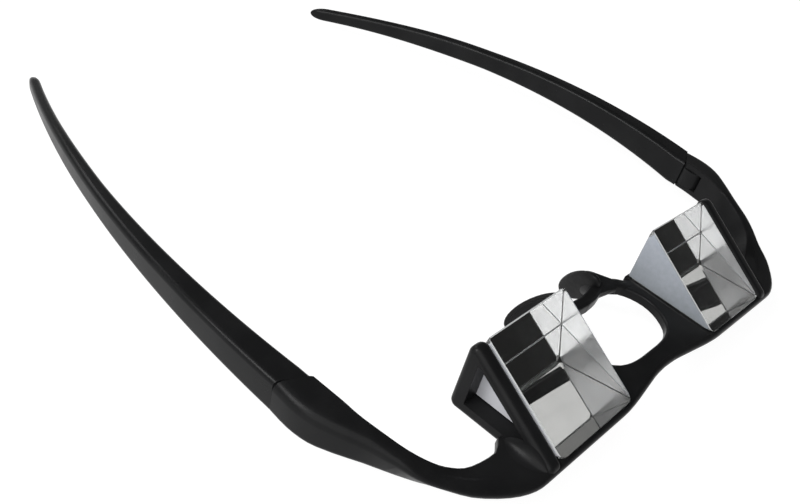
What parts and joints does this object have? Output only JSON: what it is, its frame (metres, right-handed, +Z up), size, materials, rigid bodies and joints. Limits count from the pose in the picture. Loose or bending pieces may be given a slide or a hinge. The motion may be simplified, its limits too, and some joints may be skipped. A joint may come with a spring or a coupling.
{
  "type": "belay glasses",
  "caption": "Belay glasses: black frame whose shelf holds two mirrored prisms that bend the view upward, with hinged temples, nose pads and windowed side plates.",
  "frame": {"origin": "flat underside of the web between the prisms, on the mid-plane, midway between the front edge and the central opening", "axes": "+X toward the wearer's left, -Y forward, out of the prisms' clear faces, +Z up"},
  "size_m": [0.1618, 0.1547, 0.0232],
  "materials": {
    "frame_plastic": "satin moulded nylon",
    "temple_plastic": "satin moulded nylon",
    "prism_glass": "polished optical glass",
    "mirror_coat": "evaporated mirror under the glass",
    "bond_sheet": "thin adhesive sheet",
    "end_paint": "satin grey paint",
    "pad_rubber": "soft matt rubber",
    "screw_steel": "turned steel"
  },
  "bodies": {
    "frame": {"front_frame": "frame_plastic", "prism_right": "prism_glass", "prism_left": "prism_glass", "mirror_right": "mirror_coat", "mirror_left": "mirror_coat", "prism_bond_right": "bond_sheet", "prism_bond_left": "bond_sheet", "end_paint_outer_right": "end_paint", "end_paint_inner_right": "end_paint", "end_paint_outer_left": "end_paint", "end_paint_inner_left": "end_paint", "nose_pad_right": "pad_rubber", "nose_pad_left": "pad_rubber", "hinge_screws": "screw_steel"},
    "right_temple": {"temple_right": "temple_plastic"},
    "left_temple": {"temple_left": "temple_plastic"}
  },
  "joints": [
    {"name": "right_temple_fold", "type": "hinge", "parent": "frame", "child": "right_temple", "pos_m": [-0.076, 0.03284, 0.004], "axis": [0, 0, -1], "range_deg": [0, 80]},
    {"name": "left_temple_fold", "type": "hinge", "parent": "frame", "child": "left_temple", "pos_m": [0.076, 0.03284, 0.004], "axis": [0, 0, 1], "range_deg": [0, 72]}
  ]
}
